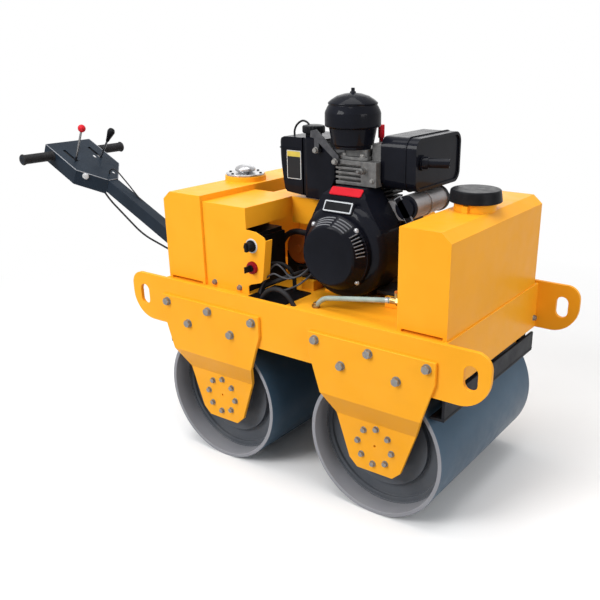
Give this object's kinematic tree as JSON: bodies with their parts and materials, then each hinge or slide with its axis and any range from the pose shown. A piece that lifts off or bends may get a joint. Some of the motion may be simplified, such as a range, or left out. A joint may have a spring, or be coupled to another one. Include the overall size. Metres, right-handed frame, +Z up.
{
  "type": "road roller",
  "caption": "Walk-behind double-drum roller with a rigid plate frame, water tanks, an air-cooled diesel engine and a fold-up steering handle.",
  "frame": {"origin": "middle of the overall length and width, on the ground", "axes": "+X forward (away from the handle), +Y to the machine's left, +Z up"},
  "size_m": [1.976, 0.66, 1.144],
  "materials": {
    "yellow_paint": "gloss",
    "black_paint": "satin",
    "console_paint": "satin",
    "drum_paint": "satin",
    "hub_iron": "satin",
    "engine_black": "satin",
    "engine_iron": "matte",
    "cast_aluminium": "matte",
    "chrome": "polished",
    "black_plastic": "matte",
    "black_rubber": "matte",
    "steel": "satin",
    "brass": "satin",
    "hose_clear": "gloss",
    "red_plastic": "gloss",
    "rust_paint": "matte"
  },
  "bodies": {
    "frame": {"side_beam_right": "yellow_paint", "side_beam_left": "yellow_paint", "front_crossbeam": "yellow_paint", "rear_crossbeam": "yellow_paint", "deck_plate": "yellow_paint", "leg_front_right": "yellow_paint", "leg_front_left": "yellow_paint", "leg_rear_right": "yellow_paint", "leg_rear_left": "yellow_paint", "front_hubs": "hub_iron", "rear_hubs": "hub_iron", "front_scraper": "black_paint", "rear_scraper": "black_paint", "sprinkler_pipes": "black_plastic", "front_tank": "yellow_paint", "front_tank_cap": "black_plastic", "rear_tank": "yellow_paint", "rear_tank_cap": "chrome", "control_box": "yellow_paint", "control_switches": "black_plastic", "battery": "black_plastic", "belt_guard": "yellow_paint", "pump_hood": "yellow_paint", "engine_rails": "yellow_paint", "engine_block": "engine_iron", "engine_cylinder": "engine_iron", "cylinder_head": "cast_aluminium", "head_cover": "cast_aluminium", "oil_cap": "red_plastic", "blower_housing": "engine_black", "recoil_cover": "engine_black", "engine_fuel_tank": "engine_black", "engine_fuel_cap": "black_plastic", "tank_strap": "steel", "air_cleaner": "engine_black", "muffler": "engine_black", "starter_motor": "steel", "pump_cover": "rust_paint", "hydraulic_pump": "engine_iron", "water_valve": "brass", "water_hose": "hose_clear", "wire_loom": "black_rubber", "hydraulic_hoses": "black_rubber", "pump_hose": "black_rubber", "overflow_hose": "black_rubber", "handle_bracket": "yellow_paint"},
    "front_drum": {"front_drum_shell": "drum_paint", "front_drum_heads": "drum_paint"},
    "rear_drum": {"rear_drum_shell": "drum_paint", "rear_drum_heads": "drum_paint"},
    "handle": {"handle_boom": "console_paint", "control_console": "console_paint", "handlebar": "console_paint", "hand_grips": "black_rubber", "drive_lever": "steel", "throttle_lever": "black_plastic", "throttle_cable": "black_rubber", "console_wire": "black_rubber"}
  },
  "joints": [
    {"name": "front_drum_spin", "type": "hinge", "parent": "frame", "child": "front_drum", "pos_m": [0.64804, 0, 0.2125], "axis": [0, 1, 0], "continuous": true},
    {"name": "rear_drum_spin", "type": "hinge", "parent": "frame", "child": "rear_drum", "pos_m": [0.07504, 0, 0.2125], "axis": [0, 1, 0], "continuous": true},
    {"name": "handle_fold", "type": "hinge", "parent": "frame", "child": "handle", "pos_m": [-0.19796, 0, 0.49], "axis": [0, 1, 0], "range_deg": [0, 60]}
  ]
}
